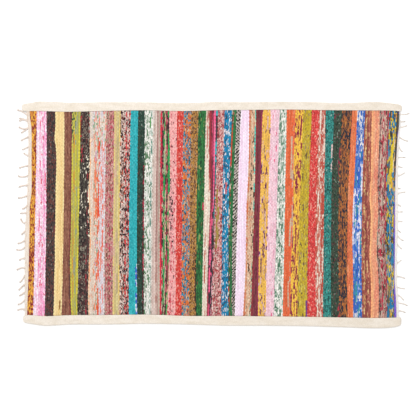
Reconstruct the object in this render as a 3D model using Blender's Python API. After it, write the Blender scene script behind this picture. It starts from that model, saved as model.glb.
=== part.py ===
"""Rag-woven doormat with taped long edges and tasselled ends.

The mat lies flat along X. Strips of cloth are beaten in as weft, so each makes
a rib across the mat. A narrow cream heading with yarn tassels closes each end,
and a cotton tape is folded over each long edge. Lengths below are millimetres.
"""

import math
from collections import namedtuple

import bmesh
import bpy
from mathutils import Matrix

MM = 0.001

# The woven cloth
RIB_COUNT = 248
RIB_CREST = 6.0
RIB_VALLEY = 4.7
RIB_LEAN_BOW = 7.5      # extra lean of the ribs half way along the mat
TAPED_TOP = 4.4         # the cloth is pressed thinner inside the tape
TAPED_BOTTOM = 1.2
PRESS_RUN = 3.0         # the cloth swells to its full height over this run
MAT_WIDTH = 600.0

# About where the rows of the cloth lie at a taped edge, the outermost first
FAR_ROWS = (303.0, 280.0, 277.0)
NEAR_ROWS = (-297.0, -273.0, -270.0)

# The folded tape
TAPE_THICKNESS = 0.9
TAPE_CHANNEL = 3.8
TAPE_FLAT_CHANNEL = 0.6     # at its tips, past the cloth, the legs lie close
TAPE_STEP = 25.0            # a short run of the tape's wavy edge
TAPE_SOFT_CORNER = 1.2

# The headings and their tassels
HEADING_TOP = 3.4
YARN_WIDTH = 3.0
YARN_HEIGHT = 2.4
KNOT_SWELL = 1.6
YARN_TOP_SHARE = 0.7    # a yarn is narrower on top than where it lies
TIP_SWELL = 0.8
YARN_ROOT = 2.0         # length of yarn that is bound into the heading
KNOT_AT = 3.6
KNOT_LIFT = 1.3         # a knot swells less upwards than it does sideways

# Meshes that meet are parted by this much
CLEARANCE = 0.3

TapeStation = namedtuple("TapeStation", "x outer inner")
FAR_TAPE = [
    TapeStation(-516.5, 294.0, 284.5),
    TapeStation(-512.0, 297.5, 279.5),
    TapeStation(-490.0, 301.5, 279.0),
    TapeStation(-466.0, 305.0, 279.0),
    TapeStation(-386.0, 302.0, 277.0),
    TapeStation(-305.0, 303.0, 279.0),
    TapeStation(-192.0, 303.0, 281.0),
    TapeStation(-79.0, 300.5, 279.0),
    TapeStation(2.0, 303.5, 281.0),
    TapeStation(99.0, 303.0, 282.0),
    TapeStation(196.0, 304.5, 283.0),
    TapeStation(292.0, 302.5, 281.5),
    TapeStation(341.0, 300.5, 281.0),
    TapeStation(438.0, 303.5, 280.5),
    TapeStation(481.0, 299.5, 280.0),
    TapeStation(504.0, 295.5, 279.0),
    TapeStation(508.5, 291.0, 281.0),
]
NEAR_TAPE = [
    TapeStation(-512.5, -287.5, -275.0),
    TapeStation(-508.0, -290.5, -271.5),
    TapeStation(-490.0, -294.0, -270.5),
    TapeStation(-450.0, -299.0, -273.0),
    TapeStation(-386.0, -295.5, -270.5),
    TapeStation(-289.0, -295.5, -270.0),
    TapeStation(-176.0, -293.5, -269.0),
    TapeStation(-63.0, -295.5, -272.5),
    TapeStation(34.0, -298.5, -272.5),
    TapeStation(131.0, -298.5, -273.5),
    TapeStation(228.0, -299.5, -274.5),
    TapeStation(341.0, -302.5, -276.5),
    TapeStation(438.0, -305.5, -278.0),
    TapeStation(486.0, -303.0, -277.0),
    TapeStation(502.0, -298.5, -276.0),
    TapeStation(506.5, -295.0, -279.0),
]

# Where the ribs end and where the headings end, across the mat
EndStation = namedtuple("EndStation", "y cloth heading")
LEFT_END = [
    EndStation(303.0, -495.0, -503.0),
    EndStation(262.0, -493.0, -502.5),
    EndStation(228.0, -489.0, -498.5),
    EndStation(148.0, -489.0, -498.5),
    EndStation(66.0, -489.0, -501.0),
    EndStation(18.0, -494.0, -503.0),
    EndStation(-45.0, -494.5, -507.5),
    EndStation(-130.0, -496.5, -508.0),
    EndStation(-203.0, -498.5, -508.0),
    EndStation(-256.0, -500.5, -508.0),
    EndStation(-296.0, -501.0, -505.5),
]
RIGHT_END = [
    EndStation(303.0, 500.5, 502.0),
    EndStation(262.0, 500.5, 503.5),
    EndStation(242.0, 500.0, 504.0),
    EndStation(209.0, 496.0, 501.5),
    EndStation(155.0, 492.5, 498.0),
    EndStation(74.0, 489.0, 497.0),
    EndStation(-41.0, 489.0, 496.5),
    EndStation(-127.0, 488.0, 494.5),
    EndStation(-179.0, 487.5, 494.5),
    EndStation(-208.0, 490.0, 496.5),
    EndStation(-256.0, 492.5, 499.0),
    EndStation(-300.0, 493.0, 499.5),
]
CLOTH_ROWS = [228.0, 150.0, 66.0, 10.0, -185.0]     # rows that carry the ribs' bends

# One row for each tassel: reach is along X away from the mat, drift along Y
Tassel = namedtuple("Tassel", "root_y reach drift bow knot")
LEFT_TASSELS = [
    Tassel(269.5, 24.5, 12.5, 2.0, False),
    Tassel(252.0, 21.0, 0.0, 4.0, True),
    Tassel(252.0, 20.5, 7.5, 2.0, False),
    Tassel(234.0, 25.0, 2.5, -4.0, True),
    Tassel(234.0, 18.5, -13.5, -1.0, False),
    Tassel(209.5, 19.5, -10.0, 1.0, True),
    Tassel(183.0, 16.5, -8.0, 0.0, False),
    Tassel(158.5, 12.5, 7.5, -1.0, True),
    Tassel(132.0, 24.0, -6.0, 1.0, True),
    Tassel(106.0, 26.5, -1.5, -3.5, False),
    Tassel(79.5, 23.0, -4.5, 1.0, True),
    Tassel(52.0, 24.0, -7.0, -1.5, True),
    Tassel(24.5, 12.0, -8.5, -2.0, False),
    Tassel(5.0, 15.5, -1.5, 0.0, True),
    Tassel(-20.5, 13.0, 10.0, -6.0, False),
    Tassel(-44.0, 9.0, -9.5, 0.0, True),
    Tassel(-69.0, 18.5, -8.5, -1.5, True),
    Tassel(-87.5, 22.0, -6.5, -4.0, False),
    Tassel(-117.5, 14.5, -5.0, 2.0, True),
    Tassel(-143.0, 21.5, -5.5, 2.0, True),
    Tassel(-163.0, 13.5, -19.0, -2.5, False),
    Tassel(-188.0, 16.0, -15.0, 1.0, True),
    Tassel(-208.5, 14.0, -9.5, -1.0, True),
    Tassel(-229.0, 18.0, -13.0, -2.5, False),
    Tassel(-256.5, 19.0, -1.0, 3.0, True),
]
RIGHT_TASSELS = [
    Tassel(271.5, 24.0, 1.5, -2.0, False),
    Tassel(250.0, 12.0, 1.0, 0.0, True),
    Tassel(235.0, 17.5, 4.5, 0.0, False),
    Tassel(209.5, 22.0, -11.0, -2.0, True),
    Tassel(185.0, 8.5, -14.5, -2.0, True),
    Tassel(153.5, 18.0, 0.5, 1.0, False),
    Tassel(131.0, 11.0, -4.0, 0.0, True),
    Tassel(104.5, 18.0, 8.5, -1.0, True),
    Tassel(72.0, 6.5, -2.5, 0.0, False),
    Tassel(56.5, 19.0, 4.5, 1.0, True),
    Tassel(28.0, 8.5, -5.5, 0.0, True),
    Tassel(7.5, 12.5, 0.0, 0.0, False),
    Tassel(-17.0, 12.0, -1.5, 0.0, True),
    Tassel(-40.0, 8.0, -8.0, 0.0, False),
    Tassel(-56.0, 15.0, -13.5, -2.0, True),
    Tassel(-78.5, 11.0, -13.0, -1.0, False),
    Tassel(-133.0, 11.5, 9.5, 1.0, True),
    Tassel(-166.0, 21.5, -5.5, 1.0, True),
    Tassel(-195.0, 19.5, -4.0, -1.0, False),
    Tassel(-216.5, 15.5, -13.5, 2.0, True),
    Tassel(-238.5, 24.5, -6.5, 2.0, False),
    Tassel(-259.5, 17.5, -4.0, 1.5, True),
]

COLOURS = {
    "rag_weave": (0.36, 0.20, 0.16),
    "heading": (0.82, 0.76, 0.66),
    "tape": (0.86, 0.79, 0.68),
}


def clear_scene():
    for existing in list(bpy.data.objects):
        bpy.data.objects.remove(existing, do_unlink=True)


def make_collection(name):
    collection = bpy.data.collections.new(name)
    bpy.context.scene.collection.children.link(collection)
    return collection


def cotton(name, colour):
    material = bpy.data.materials.new(name)
    material.use_nodes = True
    shader = material.node_tree.nodes["Principled BSDF"]
    shader.inputs["Base Color"].default_value = (*colour, 1.0)
    shader.inputs["Roughness"].default_value = 0.92
    shader.inputs["Metallic"].default_value = 0.0
    material.diffuse_color = (*colour, 1.0)
    return material


def slope_at(points, index):
    """Slope of a smooth curve at one of its points, from its neighbours."""
    low = max(index - 1, 0)
    high = min(index + 1, len(points) - 1)
    return (points[high][1] - points[low][1]) / (points[high][0] - points[low][0])


def smooth_value(points, place):
    """Value at a place on the smooth curve through (place, value) points."""
    index = 0
    while index < len(points) - 2 and place > points[index + 1][0]:
        index += 1
    (start, first), (end, second) = points[index], points[index + 1]
    run = end - start
    part = min(max((place - start) / run, 0.0), 1.0)
    ease = part * part * (3.0 - 2.0 * part)
    leave = slope_at(points, index) * run * part * (1.0 - part) ** 2
    arrive = slope_at(points, index + 1) * run * part ** 2 * (1.0 - part)
    return first + (second - first) * ease + leave - arrive


def straight_value(points, place):
    """Value at a place on the straight runs between (place, value) points."""
    index = 0
    while index < len(points) - 2 and place > points[index + 1][0]:
        index += 1
    (start, first), (end, second) = points[index], points[index + 1]
    part = min(max((place - start) / (end - start), 0.0), 1.0)
    return first + (second - first) * part


def tape_outline(table):
    """Outer and inner edge of a tape as runs short enough to look smooth."""
    outer = [(row.x, row.outer) for row in table]
    inner = [(row.x, row.inner) for row in table]
    start = table[1].x
    span = table[-2].x - start
    steps = round(span / TAPE_STEP)
    between = [start + span * step / steps for step in range(steps + 1)]
    places = [table[0].x, *between, table[-1].x]
    return (
        [(x, smooth_value(outer, x)) for x in places],
        [(x, smooth_value(inner, x)) for x in places],
    )


FAR_OUTER, FAR_INNER = tape_outline(FAR_TAPE)
NEAR_OUTER, NEAR_INNER = tape_outline(NEAR_TAPE)


def end_line(table, column):
    """An end's line across the mat, from its near side to its far side."""
    return [(row.y, getattr(row, column)) for row in reversed(table)]


def new_object(name, body, collection, material):
    mesh = bpy.data.meshes.new(name)
    body.to_mesh(mesh)
    body.free()
    mesh.materials.append(material)
    thing = bpy.data.objects.new(name, mesh)
    collection.objects.link(thing)
    return thing


def loft(sections):
    """A closed body through sections that all have the same number of points."""
    body = bmesh.new()
    rings = [[body.verts.new([c * MM for c in point]) for point in ring] for ring in sections]
    for ring, following in zip(rings, rings[1:]):
        for index, corner in enumerate(ring):
            neighbour = (index + 1) % len(ring)
            body.faces.new([corner, ring[neighbour], following[neighbour], following[index]])
    body.faces.new(list(reversed(rings[0])))
    body.faces.new(rings[-1])
    bmesh.ops.recalc_face_normals(body, faces=body.faces[:])
    return body


def edge_rows(middle_places):
    """Rows across the mat: three at each taped edge and those between them."""
    row = namedtuple("Row", "nominal place free bottom")
    hem = TAPE_THICKNESS + CLEARANCE
    edge, taped, open_cloth = FAR_ROWS
    far = [
        row(edge, lambda x: straight_value(FAR_OUTER, x) - hem, False, TAPED_BOTTOM),
        row(taped, lambda x: straight_value(FAR_INNER, x) - CLEARANCE, False, TAPED_BOTTOM),
        row(open_cloth, lambda x: straight_value(FAR_INNER, x) - PRESS_RUN, True, 0.0),
    ]
    middle = [row(y, lambda x, y=y: y, True, 0.0) for y in middle_places]
    edge, taped, open_cloth = NEAR_ROWS
    near = [
        row(open_cloth, lambda x: straight_value(NEAR_INNER, x) + PRESS_RUN, True, 0.0),
        row(taped, lambda x: straight_value(NEAR_INNER, x) + CLEARANCE, False, TAPED_BOTTOM),
        row(edge, lambda x: straight_value(NEAR_OUTER, x) + hem, False, TAPED_BOTTOM),
    ]
    return far + middle + near


def cloth_end(end):
    """Where the last rib lies at one end, in straight runs between the rows."""
    smooth = end_line(end, "cloth")
    places = sorted(row.nominal for row in edge_rows(CLOTH_ROWS))
    return [(y, smooth_value(smooth, y)) for y in places]


def rag_weave(collection):
    """The cloth: every second column is a rib's crest, the others its valleys."""
    rows = edge_rows(CLOTH_ROWS)
    columns = 2 * RIB_COUNT
    left, right = cloth_end(LEFT_END), cloth_end(RIGHT_END)
    body = bmesh.new()
    bmesh.ops.create_grid(body, x_segments=columns, y_segments=len(rows) - 1, size=1.0)
    top_faces = body.faces[:]
    under = bmesh.ops.duplicate(body, geom=body.verts[:] + body.edges[:] + top_faces)
    copied = {vert for vert in under["geom"] if isinstance(vert, bmesh.types.BMVert)}
    for vert in body.verts:
        column = round((vert.co.x + 1.0) / 2.0 * columns)
        row = rows[round((1.0 - vert.co.y) / 2.0 * (len(rows) - 1))]
        along = column / columns
        start = straight_value(left, row.nominal)
        end = straight_value(right, row.nominal)
        lean = RIB_LEAN_BOW * math.sin(math.pi * along) * row.nominal / MAT_WIDTH
        x = start + (end - start) * along + lean
        crest = RIB_CREST if column % 2 else RIB_VALLEY
        top = crest if row.free else TAPED_TOP
        z = row.bottom if vert in copied else top
        vert.co = (x * MM, row.place(x) * MM, z * MM)
    rim = [edge for edge in body.edges if edge.is_boundary]
    bmesh.ops.bridge_loops(body, edges=rim)
    bmesh.ops.recalc_face_normals(body, faces=body.faces[:])
    return new_object("rag_weave", body, collection, cotton("cotton_rag", COLOURS["rag_weave"]))


def tape_section(x, outer, inner, channel):
    """The tape's folded section: a leg below, a round fold and a leg above."""
    side = 1.0 if outer > inner else -1.0
    low, top = TAPE_THICKNESS, TAPE_THICKNESS + channel
    height = top + TAPE_THICKNESS
    fold = TAPE_THICKNESS
    soft = min(TAPE_SOFT_CORNER, height / 3.0)
    profile = [
        (inner, 0.0),
        (outer - side * soft, 0.0),
        (outer, soft),
        (outer, height - soft),
        (outer - side * soft, height),
        (inner, height),
        (inner, top),
        (outer - side * fold, top),
        (outer - side * fold, low),
        (inner, low),
    ]
    return [(x, y, z) for y, z in profile]


def binding(name, outer_line, inner_line, collection, material):
    """A tape folded over a long edge, its legs close together at both tips."""
    tips = (outer_line[0][0], outer_line[-1][0])
    sections = []
    for (x, outer), (_, inner) in zip(outer_line, inner_line):
        channel = TAPE_FLAT_CHANNEL if x in tips else TAPE_CHANNEL
        sections.append(tape_section(x, outer, inner, channel))
    return new_object(name, loft(sections), collection, material)


def heading_strip(end, side):
    """The heading's cloth, whose ends pass between the legs of both tapes."""
    cloth = cloth_end(end)
    edge = end_line(end, "heading")
    between = {station.y for station in end[1:-1]} | set(CLOTH_ROWS)
    sections = []
    for row in edge_rows(sorted(between, reverse=True)):
        inner_x = straight_value(cloth, row.nominal) + side * CLEARANCE
        outer_x = smooth_value(edge, row.nominal)
        high = HEADING_TOP if row.free else TAPED_TOP
        sections.append([
            (inner_x, row.place(inner_x), row.bottom),
            (outer_x, row.place(outer_x), row.bottom),
            (outer_x, row.place(outer_x), high),
            (inner_x, row.place(inner_x), high),
        ])
    return loft(sections)


def yarn_path(tassel, root_x, side):
    """Points along one tassel: bound root, root, knot, middle and tip."""
    length = math.hypot(tassel.reach, tassel.drift)
    points = []
    for travelled in (-YARN_ROOT, 0.0, KNOT_AT, (KNOT_AT + length) / 2.0, length):
        part = travelled / length
        curve = tassel.bow * 4.0 * part * (1.0 - part) if part > 0.0 else 0.0
        x = root_x + side * tassel.reach * part
        y = tassel.root_y + (tassel.drift * part if part > 0.0 else 0.0) + curve
        points.append((x, y))
    return points


def yarn(tassel, root_x, side):
    """A four-sided strand that lies level on the floor."""
    points = yarn_path(tassel, root_x, side)
    knot = KNOT_SWELL if tassel.knot else 1.0
    swells = (1.0, 1.0, knot, 1.0, TIP_SWELL)
    sections = []
    for index, ((x, y), swell) in enumerate(zip(points, swells)):
        before = points[max(index - 1, 0)]
        after = points[min(index + 1, len(points) - 1)]
        run_x, run_y = after[0] - before[0], after[1] - before[1]
        run = math.hypot(run_x, run_y)
        half = YARN_WIDTH * swell / 2.0
        across_x, across_y = -run_y / run * half, run_x / run * half
        top_x, top_y = across_x * YARN_TOP_SHARE, across_y * YARN_TOP_SHARE
        high = YARN_HEIGHT * min(swell, KNOT_LIFT)
        sections.append([
            (x - across_x, y - across_y, 0.0),
            (x + across_x, y + across_y, 0.0),
            (x + top_x, y + top_y, high),
            (x - top_x, y - top_y, high),
        ])
    return loft(sections)


def heading_fringe(name, end, tassels, side, collection, strands, material):
    """A heading with its tassels joined to it by their roots."""
    heading = new_object(name, heading_strip(end, side), collection, material)
    edge = end_line(end, "heading")
    for number, tassel in enumerate(tassels, start=1):
        root_x = smooth_value(edge, tassel.root_y)
        strand = new_object(f"{name}_yarn_{number}", yarn(tassel, root_x, side), strands, material)
        strand.hide_render = True
        strand.display_type = "WIRE"
    joined = heading.modifiers.new("join tassels", "BOOLEAN")
    joined.operation = "UNION"
    joined.solver = "EXACT"
    joined.operand_type = "COLLECTION"
    joined.collection = strands
    return heading


def centre_on_box(things):
    """Shift everything so that the origin is the bottom centre of the mat's box."""
    points = [vert.co for thing in things for vert in thing.data.vertices]
    middle_x = (min(p.x for p in points) + max(p.x for p in points)) / 2.0
    middle_y = (min(p.y for p in points) + max(p.y for p in points)) / 2.0
    for thing in things:
        thing.data.transform(Matrix.Translation((-middle_x, -middle_y, 0.0)))


def main():
    clear_scene()
    doormat = make_collection("doormat")
    left_yarns = make_collection("left yarns")
    right_yarns = make_collection("right yarns")
    heading_cotton = cotton("cotton_heading", COLOURS["heading"])
    tape_cotton = cotton("cotton_tape", COLOURS["tape"])
    rag_weave(doormat)
    binding("binding_far", FAR_OUTER, FAR_INNER, doormat, tape_cotton)
    binding("binding_near", NEAR_OUTER, NEAR_INNER, doormat, tape_cotton)
    heading_fringe(
        "heading_fringe_left", LEFT_END, LEFT_TASSELS, -1.0, doormat, left_yarns, heading_cotton
    )
    heading_fringe(
        "heading_fringe_right", RIGHT_END, RIGHT_TASSELS, 1.0, doormat, right_yarns, heading_cotton
    )
    centre_on_box([*doormat.objects, *left_yarns.objects, *right_yarns.objects])


main()
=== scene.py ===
import math
import random

import bmesh
import bpy
from mathutils import Color, Matrix, Vector, noise


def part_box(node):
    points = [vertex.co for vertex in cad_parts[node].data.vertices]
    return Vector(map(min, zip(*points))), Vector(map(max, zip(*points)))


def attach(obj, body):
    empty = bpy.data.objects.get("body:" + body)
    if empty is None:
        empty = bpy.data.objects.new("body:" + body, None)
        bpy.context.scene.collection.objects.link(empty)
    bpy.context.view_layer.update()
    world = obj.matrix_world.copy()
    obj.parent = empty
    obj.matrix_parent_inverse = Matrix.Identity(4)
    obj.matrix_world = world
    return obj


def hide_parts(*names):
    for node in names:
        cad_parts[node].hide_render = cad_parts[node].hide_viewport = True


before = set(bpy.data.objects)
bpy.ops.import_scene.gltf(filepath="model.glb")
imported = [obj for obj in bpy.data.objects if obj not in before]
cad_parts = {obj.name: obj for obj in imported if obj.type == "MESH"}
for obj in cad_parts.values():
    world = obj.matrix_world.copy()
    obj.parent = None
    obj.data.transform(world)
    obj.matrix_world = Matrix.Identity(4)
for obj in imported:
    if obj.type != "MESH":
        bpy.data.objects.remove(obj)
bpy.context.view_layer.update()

mm = 0.001

# The mat is charted in millimetres about its middle; the solids' box gives the last shift
shift = Vector((
    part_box("binding_far")[0].x / mm + 516.5,
    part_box("binding_far")[1].y / mm - 305.0,
    0.0,
))

# x, outer edge and inner edge of each folded tape
tapeEdges = {
    "far": [
        (-516.5, 294.0, 284.5), (-512.0, 297.5, 279.5), (-490.0, 301.5, 279.0),
        (-466.0, 305.0, 279.0), (-386.0, 302.0, 277.0), (-305.0, 303.0, 279.0),
        (-192.0, 303.0, 281.0), (-79.0, 300.5, 279.0), (2.0, 303.5, 281.0),
        (99.0, 303.0, 282.0), (196.0, 304.5, 283.0), (292.0, 302.5, 281.5),
        (341.0, 300.5, 281.0), (438.0, 303.5, 280.5), (481.0, 299.5, 280.0),
        (504.0, 295.5, 279.0), (508.5, 291.0, 281.0),
    ],
    "near": [
        (-512.5, -287.5, -275.0), (-508.0, -290.5, -271.5), (-490.0, -294.0, -270.5),
        (-450.0, -299.0, -273.0), (-386.0, -295.5, -270.5), (-289.0, -295.5, -270.0),
        (-176.0, -293.5, -269.0), (-63.0, -295.5, -272.5), (34.0, -298.5, -272.5),
        (131.0, -298.5, -273.5), (228.0, -299.5, -274.5), (341.0, -302.5, -276.5),
        (438.0, -305.5, -278.0), (486.0, -303.0, -277.0), (502.0, -298.5, -276.0),
        (506.5, -295.0, -279.0),
    ],
}

# y, end of the rag cloth and end of the heading, from the near side to the far side
matEnds = {
    "left": [
        (-296.0, -501.0, -505.5), (-256.0, -500.5, -508.0), (-203.0, -498.5, -508.0),
        (-130.0, -496.5, -508.0), (-45.0, -494.5, -507.5), (18.0, -494.0, -503.0),
        (66.0, -489.0, -501.0), (148.0, -489.0, -498.5), (228.0, -489.0, -498.5),
        (262.0, -493.0, -502.5), (303.0, -495.0, -503.0),
    ],
    "right": [
        (-300.0, 493.0, 499.5), (-256.0, 492.5, 499.0), (-208.0, 490.0, 496.5),
        (-179.0, 487.5, 494.5), (-127.0, 488.0, 494.5), (-41.0, 489.0, 496.5),
        (74.0, 489.0, 497.0), (155.0, 492.5, 498.0), (209.0, 496.0, 501.5),
        (242.0, 500.0, 504.0), (262.0, 500.5, 503.5), (303.0, 500.5, 502.0),
    ],
}


def smoothValue(points, place):
    # value at a place on the smooth curve through (place, value) points
    index = 0
    while index < len(points) - 2 and place > points[index + 1][0]:
        index += 1
    start, first = points[index]
    end, second = points[index + 1]
    before = points[max(index - 1, 0)]
    after = points[min(index + 2, len(points) - 1)]
    part = min(max((place - start) / (end - start), 0.0), 1.0)
    leave = (second - before[1]) / (end - before[0])
    arrive = (after[1] - first) / (after[0] - start)
    ease = part * part * (3 - 2 * part)
    bend = leave * part * (1 - part) ** 2 - arrive * part ** 2 * (1 - part)
    return first + (second - first) * ease + bend * (end - start)


def column(table, number):
    return [(row[0], row[number]) for row in table]


farOuter = column(tapeEdges["far"], 1)
farInner = column(tapeEdges["far"], 2)
nearOuter = column(tapeEdges["near"], 1)
nearInner = column(tapeEdges["near"], 2)
clothEnd = {side: column(rows, 1) for side, rows in matEnds.items()}
headingEnd = {side: column(rows, 2) for side, rows in matEnds.items()}


def easeStep(value):
    value = min(max(value, 0.0), 1.0)
    return value * value * (3 - 2 * value)


def linear(code, tone=0.86):
    # a colour as it looks under the studio light, in six hex digits, as the cloth's own colour
    channels = [int(code[place:place + 2], 16) / 255 for place in (0, 2, 4)]
    return Color(channels).from_srgb_to_scene_linear() * tone


def newMaterial(name, roughness, sheen):
    material = bpy.data.materials.new(name)
    material.use_nodes = True
    tree = material.node_tree
    shader = tree.nodes["Principled BSDF"]
    shader.inputs["Roughness"].default_value = roughness
    shader.inputs["Specular IOR Level"].default_value = 0.25
    shader.inputs["Sheen Weight"].default_value = sheen
    shader.inputs["Sheen Roughness"].default_value = 0.6
    return material, tree, shader


def addNode(tree, kind, **values):
    node = tree.nodes.new("ShaderNode" + kind)
    for name, value in values.items():
        if hasattr(node, name):
            setattr(node, name, value)
        else:
            node.inputs[name].default_value = value
    return node


def objectPlace(tree, scale):
    # Object coordinates stretched by scale
    place = addNode(tree, "TexCoord")
    mapping = addNode(tree, "Mapping", Scale=scale)
    tree.links.new(place.outputs["Object"], mapping.inputs["Vector"])
    return mapping.outputs["Vector"]


def clothPlace(tree, scale):
    # the cloth's own threads: u counts picks and v counts warps
    place = addNode(tree, "UVMap", uv_map="weave")
    mapping = addNode(tree, "Mapping", Scale=scale)
    tree.links.new(place.outputs["UV"], mapping.inputs["Vector"])
    return mapping.outputs["Vector"]


def noiseAt(tree, place, scale, detail=3.0):
    texture = addNode(tree, "TexNoise", Scale=scale, Detail=detail)
    tree.links.new(place, texture.inputs["Vector"])
    return texture.outputs["Fac"]


def rescale(tree, value, fromLow, fromHigh, toLow, toHigh):
    node = addNode(tree, "MapRange")
    for name, number in zip(
        ("From Min", "From Max", "To Min", "To Max"), (fromLow, fromHigh, toLow, toHigh)
    ):
        node.inputs[name].default_value = number
    tree.links.new(value, node.inputs["Value"])
    return node.outputs["Result"]


def combine(tree, operation, first, second):
    node = addNode(tree, "Math", operation=operation)
    tree.links.new(first, node.inputs[0])
    if isinstance(second, (int, float)):
        node.inputs[1].default_value = second
    else:
        tree.links.new(second, node.inputs[1])
    return node.outputs["Value"]


def shaded(tree, colour, value):
    # a colour made lighter or darker by a value
    node = addNode(tree, "HueSaturation")
    tree.links.new(colour, node.inputs["Color"])
    tree.links.new(value, node.inputs["Value"])
    return node.outputs["Color"]


def bumped(tree, height, distance, below=None):
    node = addNode(tree, "Bump", Strength=1.0, Distance=distance)
    tree.links.new(height, node.inputs["Height"])
    if below is not None:
        tree.links.new(below, node.inputs["Normal"])
    return node.outputs["Normal"]


def finishPiece(name, body, material, nodes=()):
    # the bmesh becomes a piece that rides on the mat's one body
    mesh = bpy.data.meshes.new(name)
    bmesh.ops.recalc_face_normals(body, faces=body.faces[:])
    body.to_mesh(mesh)
    body.free()
    mesh.materials.append(material)
    piece = bpy.data.objects.new(name, mesh)
    bpy.context.scene.collection.objects.link(piece)
    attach(piece, "root")
    if nodes:
        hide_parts(*nodes)
    print(name, len(mesh.polygons), "faces")
    return piece


# The rag cloth

ragCloth = {
    "warps": 110,           # warp threads between the two tapes
    "crest": 5.9,
    "dip": 4.8,
    "sag": 0.9,             # relief of the underside
    "taped": 4.3,           # pressed under the tape
    "underTape": 1.25,
    "pressRun": 2.2,
    "bulge": 0.13,          # share of a pick that a float spreads over its neighbour
    "columns": 3,           # mesh columns for each pick on top, each painted as a line of its own
    "rows": 2,              # mesh rows for each warp on top
    "pickJitter": 0.1,
    "wander": 0.9,          # a pick's drift along the mat
    "sway": 0.8,            # a warp's drift across the mat
    "parts": (0, 83, 168, 248),
    "nearEdge": -271,
    "width": 551,
    "plainRun": 3,          # rags with longer runs are plain ones
    "plainGrain": 0.09,     # how far one float's tone strays
    "mixedGrain": 0.15,
    "worn": (0.95, 1.04),   # tone of a whole strip
    "joinSlip": 9,          # how far the ends of a joined rag stray
    "wideJoinSlip": 24,
}

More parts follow.
